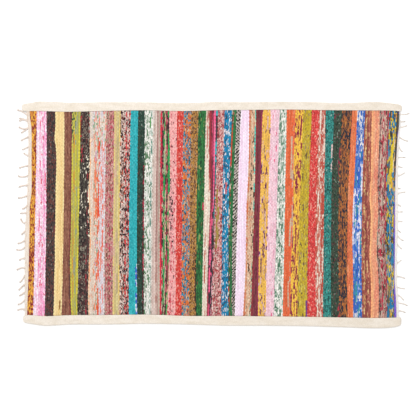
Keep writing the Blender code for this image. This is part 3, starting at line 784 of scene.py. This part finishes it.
tassels = {
    "ply": {"left": 1.1, "right": 0.72},    # radius of one ply
    "spread": {"left": 1.1, "right": 0.78},
    "lay": 8.0,             # length of one full turn of the plies
    "root": 2.0,
    "knotAt": 3.6,
    "knot": 0.68,
    "fray": 5.5,            # the last of the yarn is untwisted
    "fibres": 7,
    "fibreRadii": (0.18, 0.16, 0.13, 0.07),
    "step": 1.4,
    "plies": 3,
    "sides": 6,
    # y of the root, reach, drift, bow, knotted
    "left": [
        (269.5, 24.5, 12.5, 2.0, False), (252.0, 21.0, 0.0, 4.0, True),
        (252.0, 20.5, 7.5, 2.0, False), (234.0, 25.0, 2.5, -4.0, True),
        (234.0, 18.5, -13.5, -1.0, False), (209.5, 19.5, -10.0, 1.0, True),
        (183.0, 16.5, -8.0, 0.0, False), (158.5, 12.5, 7.5, -1.0, True),
        (132.0, 24.0, -6.0, 1.0, True), (106.0, 26.5, -1.5, -3.5, False),
        (79.5, 23.0, -4.5, 1.0, True), (52.0, 24.0, -7.0, -1.5, True),
        (24.5, 12.0, -8.5, -2.0, False), (5.0, 15.5, -1.5, 0.0, True),
        (-20.5, 13.0, 10.0, -6.0, False), (-44.0, 9.0, -9.5, 0.0, True),
        (-69.0, 18.5, -8.5, -1.5, True), (-87.5, 22.0, -6.5, -4.0, False),
        (-117.5, 14.5, -5.0, 2.0, True), (-143.0, 21.5, -5.5, 2.0, True),
        (-163.0, 13.5, -19.0, -2.5, False), (-188.0, 16.0, -15.0, 1.0, True),
        (-208.5, 14.0, -9.5, -1.0, True), (-229.0, 18.0, -13.0, -2.5, False),
        (-256.5, 19.0, -1.0, 3.0, True),
    ],
    "right": [
        (271.5, 24.0, 1.5, -2.0, False), (250.0, 12.0, 1.0, 0.0, True),
        (235.0, 17.5, 4.5, 0.0, False), (209.5, 22.0, -11.0, -2.0, True),
        (185.0, 8.5, -14.5, -2.0, True), (153.5, 18.0, 0.5, 1.0, False),
        (131.0, 11.0, -4.0, 0.0, True), (104.5, 18.0, 8.5, -1.0, True),
        (72.0, 6.5, -2.5, 0.0, False), (56.5, 19.0, 4.5, 1.0, True),
        (28.0, 8.5, -5.5, 0.0, True), (7.5, 12.5, 0.0, 0.0, False),
        (-17.0, 12.0, -1.5, 0.0, True), (-40.0, 8.0, -8.0, 0.0, False),
        (-56.0, 15.0, -13.5, -2.0, True), (-78.5, 11.0, -13.0, -1.0, False),
        (-133.0, 11.5, 9.5, 1.0, True), (-166.0, 21.5, -5.5, 1.0, True),
        (-195.0, 19.5, -4.0, -1.0, False), (-216.5, 15.5, -13.5, 2.0, True),
        (-238.5, 24.5, -6.5, 2.0, False), (-259.5, 17.5, -4.0, 1.5, True),
    ],
}


def ringFrame(points, index):
    before = points[max(index - 1, 0)]
    after = points[min(index + 1, len(points) - 1)]
    ahead = (after - before).normalized()
    aside = ahead.cross(Vector((0, 0, 1))).normalized()
    above = aside.cross(ahead)
    turn = Matrix((aside, above, ahead)).transposed().to_4x4()
    return Matrix.Translation(points[index]) @ turn


def sweepYarn(body, points, radii, sides):
    # a ring is carried along the points, extruded at each
    frames = [
        ringFrame(points, index) @ Matrix.Diagonal((radius, radius, 1, 1))
        for index, radius in enumerate(radii)
    ]
    ring = bmesh.ops.create_circle(
        body, cap_ends=True, segments=sides, radius=1.0, matrix=frames[0]
    )["verts"]
    edges = list({edge for vert in ring for edge in vert.link_edges})
    for earlier, later in zip(frames, frames[1:]):
        grown = bmesh.ops.extrude_edge_only(body, edges=edges)["geom"]
        ring = [item for item in grown if isinstance(item, bmesh.types.BMVert)]
        edges = [
            item for item in grown
            if isinstance(item, bmesh.types.BMEdge) and all(v in ring for v in item.verts)
        ]
        bmesh.ops.transform(body, matrix=later @ earlier.inverted(), verts=ring)
    bmesh.ops.contextual_create(body, geom=edges)


def tieTassel(body, row, side, chance):
    rootY, reach, drift, bow, knotted = row
    sign = -1 if side == "left" else 1
    rootX = smoothValue(headingEnd[side], rootY)
    length = math.hypot(reach, drift)
    ply = tassels["ply"][side] * chance.uniform(0.88, 1.08)
    spread = tassels["spread"][side]
    rest = ply + spread

    def along(travelled):
        part = travelled / length
        curve = bow * 4 * part * (1 - part) if part > 0 else 0.0
        x = rootX + sign * reach * part
        y = rootY + (drift * part if part > 0 else 0.0) + curve
        z = rest + 0.5 * (1 - easeStep((travelled + 2) / 6))
        return Vector((x, y, z)) + shift

    steps = max(round(length / tassels["step"]), 6)
    root = tassels["root"]
    travel = [-root + (length + root) * step / steps for step in range(steps + 1)]
    middle = [along(travelled) for travelled in travel]
    start = chance.uniform(0, math.tau)
    for number in range(tassels["plies"]):
        points = []
        radii = []
        for index, (travelled, centre) in enumerate(zip(travel, middle)):
            turn = ringFrame(middle, index).to_3x3()
            loose = easeStep((travelled - length + tassels["fray"]) / tassels["fray"])
            angle = start + number * math.tau / tassels["plies"] + travelled / tassels["lay"] * math.tau
            out = spread * (1 + 1.1 * loose)
            point = centre + turn @ Vector((math.cos(angle) * out, math.sin(angle) * spread, 0))
            point.z = max(point.z, ply + 0.05)
            points.append(point * mm)
            radii.append(ply * (1 - 0.45 * loose) * mm)
        sweepYarn(body, points, radii, tassels["sides"])
    for number in range(tassels["fibres"]):
        fan = chance.uniform(-0.5, 0.5)
        tip = middle[-1] - middle[-2]
        tip.z = 0.0
        tip = Matrix.Rotation(fan, 3, "Z") @ tip.normalized()
        reachOut = chance.uniform(1.2, 4.0)
        begin = middle[-2] + Vector((0, 0, chance.uniform(-0.6, 0.3)))
        points = []
        for step in range(4):
            point = begin + tip * (step / 3 * (reachOut + 1.4))
            point += Vector((0, 0, -0.25 * step))
            point.z = max(point.z, 0.2)
            points.append(point * mm)
        sweepYarn(body, points, [radius * mm for radius in tassels["fibreRadii"]], 3)
    if knotted:
        tieKnot(body, along, ply, side)


def tieKnot(body, along, ply, side):
    # an overhand knot lies as a small trefoil round the yarn
    centre = along(tassels["knotAt"])
    size = tassels["knot"] * (1.0 if side == "left" else 0.78)
    centre.z = size + ply + 0.15
    points = []
    for step in range(25):
        angle = step / 24 * math.tau * 0.995
        points.append((centre + Vector((
            (math.cos(angle) - 2 * math.cos(2 * angle)) * size * 0.75,
            (math.sin(angle) + 2 * math.sin(2 * angle)) * size,
            -math.sin(3 * angle) * size * 0.8,
        ))) * mm)
    sweepYarn(body, points, [ply * 1.1 * mm] * len(points), tassels["sides"])


# painted shade: tone 0.89 in the dips of the headings, rising to 0.99 on the float tops
headingFinish = wovenMaterial("wovenHeadingYarn", 1.8, 0.9, 1.7, (0.89, 0.99), 0.0003)
tasselFinish = {
    "left": yarnMaterial("tasselYarnCream", "f0dfd2", 1200.0),
    "right": yarnMaterial("tasselYarnPale", "f2e6da", 1200.0),
}
for side in ("left", "right"):
    node = "heading_fringe_" + side
    chance = random.Random(11 if side == "left" else 12)
    yarns = [
        dyeStrip(heading["yarns"][side], 1, heading["warps"] * heading["rows"], chance)
        for _ in range(heading["picks"])
    ]
    body = weaveCloth((0, heading["picks"]), heading, headingPlace(side), yarns)
    name = "heading" + side.capitalize()
    headingPiece = finishPiece(name, body, headingFinish, [node])
    fringe = bmesh.new()
    for row in tassels[side]:
        tieTassel(fringe, row, side, chance)
    for face in fringe.faces:
        face.smooth = True
    name = "tassels" + side.capitalize()
    fringePiece = finishPiece(name, fringe, tasselFinish[side], [node])

# The folded tapes and their stitching

tape = {
    "thickness": 0.9,
    "channel": 3.8,
    "tipChannel": 0.6,
    "tipRun": 4.5,
    "tipRound": 2.2,
    "tipColumns": 12,
    "step": 1.5,
    "rows": 44,
    "legShare": 0.45,       # of the rows, for each face; the rest go round the fold
    "fold": 2.4,
    "ripple": 0.16,         # picks show through the tape
    "ripplePitch": 5.45,
    "stitchFrom": 2.6,      # stitch row to inner edge
    "stitch": 3.3,
    "stitchEnds": 6,
    "thread": 0.28,
    "mottle": ("e9ddcc", "f2e8db"),
}


def tapeHeight(x, start, end):
    near = easeStep(min(x - start, end - x) / tape["tipRun"])
    channel = tape["tipChannel"] + (tape["channel"] - tape["tipChannel"]) * near
    return channel + 2 * tape["thickness"]


def tapeSurface(edges, x, across, inset):
    # across runs 0 to 1 from the lower leg's inner edge round the fold to the upper one's
    table = tapeEdges[edges]
    outer = smoothValue(column(table, 1), x)
    inner = smoothValue(column(table, 2), x)
    side = 1 if outer > inner else -1
    toRound = max(tape["tipRound"] - min(x - table[0][0], table[-1][0] - x), 0.0)
    pull = tape["tipRound"] - math.sqrt(tape["tipRound"] ** 2 - toRound ** 2)
    outer -= side * pull
    inner += side * pull
    width = abs(outer - inner)
    height = tapeHeight(x, table[0][0], table[-1][0])
    fold = min(tape["fold"], height / 2)
    leg = width - fold
    pucker = noise.noise(Vector((x * 0.16, across * 2, 5.0))) * 0.5
    share = tape["legShare"]
    if across < share:
        reach = leg * across / share
        y = inner + side * (reach + pucker * 0.5)
        return Vector((x, y, inset))
    if across <= 1 - share:
        angle = (across - 0.5) / (0.5 - share) * math.pi / 2
        y = outer - side * (fold - math.cos(angle) * (fold - inset))
        z = height / 2 + math.sin(angle) * (height / 2 - inset)
        return Vector((x, y, z))
    reach = leg * (1 - across) / share
    y = inner + side * (reach + pucker * max(1 - reach / 8, 0))
    seam = math.exp(-((reach - tape["stitchFrom"]) / 1.1) ** 2)
    swell = math.sin(min(max((reach - 3) / (leg - 3), 0), 1) * math.pi)
    ripple = math.sin(x / tape["ripplePitch"] * math.tau + 0.8 * math.sin(x * 0.05)) * tape["ripple"]
    lumps = noise.noise(Vector((x * 0.07, reach * 0.12, 2.0))) * 0.3
    z = height - inset - 0.3 * seam + (ripple + lumps) * swell - 0.12
    return Vector((x, y, z))


def foldTape(edges):
    body = bmesh.new()
    weave = body.loops.layers.uv.new("weave")
    table = tapeEdges[edges]
    start, end = table[0][0], table[-1][0]
    finer = tape["tipColumns"]
    tips = [tape["tipRun"] * (step / finer) ** 1.6 for step in range(finer)]
    long = end - start - 2 * tape["tipRun"]
    steps = round(long / tape["step"])
    marks = [start + tip for tip in tips]
    marks += [start + tape["tipRun"] + long * step / steps for step in range(steps + 1)]
    marks += [end - tip for tip in reversed(tips)]
    columns = len(marks) - 1
    bmesh.ops.create_grid(body, x_segments=columns, y_segments=tape["rows"], size=1.0)
    for face in body.faces:
        face.smooth = True
        for loop in face.loops:
            along = marks[round((loop.vert.co.x + 1) / 2 * columns)]
            loop[weave].uv = (along, (loop.vert.co.y + 1) / 2)
    inner = bmesh.ops.duplicate(body, geom=body.verts[:] + body.edges[:] + body.faces[:])
    innerVerts = {item for item in inner["geom"] if isinstance(item, bmesh.types.BMVert)}
    for vert in body.verts:
        across = (vert.co.y + 1) / 2
        x = marks[round((vert.co.x + 1) / 2 * columns)]
        inset = tape["thickness"] if vert in innerVerts else 0.0
        vert.co = (tapeSurface(edges, x, across, inset) + shift) * mm
    rim = [edge for edge in body.edges if edge.is_boundary]
    bmesh.ops.bridge_loops(body, edges=rim)
    return body


def stitchRow(edges):
    body = bmesh.new()
    table = tapeEdges[edges]
    x = table[0][0] + tape["stitchEnds"]
    while x < table[-1][0] - tape["stitchEnds"]:
        inner = smoothValue(column(table, 2), x)
        outer = smoothValue(column(table, 1), x)
        reach = tape["stitchFrom"] / (abs(outer - inner) - tape["fold"])
        centre = tapeSurface(edges, x, 1 - tape["legShare"] * reach, 0.0) + shift
        centre.z += 0.05
        size = Matrix.Diagonal((tape["stitch"] * 0.44, tape["thread"] * 1.3, tape["thread"], 1))
        place = Matrix.Diagonal((mm, mm, mm, 1)) @ Matrix.Translation(centre) @ size
        bmesh.ops.create_uvsphere(body, u_segments=6, v_segments=4, radius=1.0, matrix=place)
        x += tape["stitch"]
    for face in body.faces:
        face.smooth = True
    return body


def tapeMaterial():
    material, tree, shader = newMaterial("creamCottonTape", 0.88, 0.2)
    tint = addNode(tree, "ValToRGB")
    for stop, code in zip(tint.color_ramp.elements, tape["mottle"]):
        stop.color = (*linear(code), 1.0)
    mottle = rescale(tree, noiseAt(tree, objectPlace(tree, (0.35, 1, 1)), 110.0), 0.35, 0.65, 0, 1)
    tree.links.new(mottle, tint.inputs["Fac"])
    lines = noiseAt(tree, objectPlace(tree, (0.06, 1, 1)), 1500.0, 2.0)
    picks = noiseAt(tree, objectPlace(tree, (1, 0.06, 1)), 1500.0, 2.0)
    weave = combine(tree, "ADD", lines, picks)
    slubs = rescale(tree, noiseAt(tree, objectPlace(tree, (1, 1, 1)), 330.0, 1.0), 0.3, 0.7, 0.93, 1.05)
    worn = combine(tree, "MULTIPLY", slubs, rescale(tree, weave, 0.7, 1.3, 0.93, 1.03))
    colour = shaded(tree, tint.outputs["Color"], worn)
    tree.links.new(colour, shader.inputs["Base Color"])
    tree.links.new(bumped(tree, weave, 0.00025), shader.inputs["Normal"])
    return material


tapeFinish = tapeMaterial()
threadFinish = yarnMaterial("stitchThread", "fbf6ec", 2500.0)
for edges in ("far", "near"):
    stitches = finishPiece("stitches" + edges.capitalize(), stitchRow(edges), threadFinish)
    piece = finishPiece(
        "tape" + edges.capitalize(), foldTape(edges), tapeFinish, ["binding_" + edges]
    )

for piece, first, last in zip(ragPieces, ragCloth["parts"], ragCloth["parts"][1:]):
    width = (pickPlace(last, 0) - pickPlace(first, 0)) * mm

# Floor, light and camera

studio = {
    "floor": 8.0,
    "floorTone": 0.93,
    "sky": 0.85,
    "lampPower": 60.0,
    "lampSize": 3.0,
    "lampPlace": (-0.6, 1.3, 2.7),
    "lens": 85.0,
    "sensor": 36.0,
    "matTop": 0.006,
    "viewWidth": 1.119,
    "aim": (-0.0129, 0.0182),
}


def layFloor():
    body = bmesh.new()
    bmesh.ops.create_grid(body, x_segments=1, y_segments=1, size=studio["floor"])
    mesh = bpy.data.meshes.new("floor")
    body.to_mesh(mesh)
    body.free()
    material, tree, shader = newMaterial("paleFloor", 0.95, 0.0)
    shader.inputs["Base Color"].default_value = (*[studio["floorTone"]] * 3, 1.0)
    mesh.materials.append(material)
    floor = bpy.data.objects.new("floor", mesh)
    bpy.context.scene.collection.objects.link(floor)


def lightStudio():
    world = bpy.data.worlds.new("studio")
    world.use_nodes = True
    world.node_tree.nodes["Background"].inputs["Color"].default_value = (1, 1, 1, 1)
    world.node_tree.nodes["Background"].inputs["Strength"].default_value = studio["sky"]
    bpy.context.scene.world = world
    lamp = bpy.data.lights.new("softLamp", "AREA")
    lamp.energy = studio["lampPower"]
    lamp.size = studio["lampSize"]
    holder = bpy.data.objects.new("softLamp", lamp)
    holder.location = studio["lampPlace"]
    holder.rotation_euler = (-holder.location).to_track_quat("-Z", "Y").to_euler()
    bpy.context.scene.collection.objects.link(holder)


def placeCamera():
    camera = bpy.data.cameras.new("camera")
    camera.lens = studio["lens"]
    camera.sensor_width = studio["sensor"]
    holder = bpy.data.objects.new("camera", camera)
    distance = studio["viewWidth"] * studio["lens"] / studio["sensor"]
    holder.location = (*studio["aim"], distance + studio["matTop"])
    bpy.context.scene.collection.objects.link(holder)
    bpy.context.scene.camera = holder


layFloor()
lightStudio()
placeCamera()
print("floor, lamp and camera are in place")
bpy.context.scene.view_settings.view_transform = "Standard"
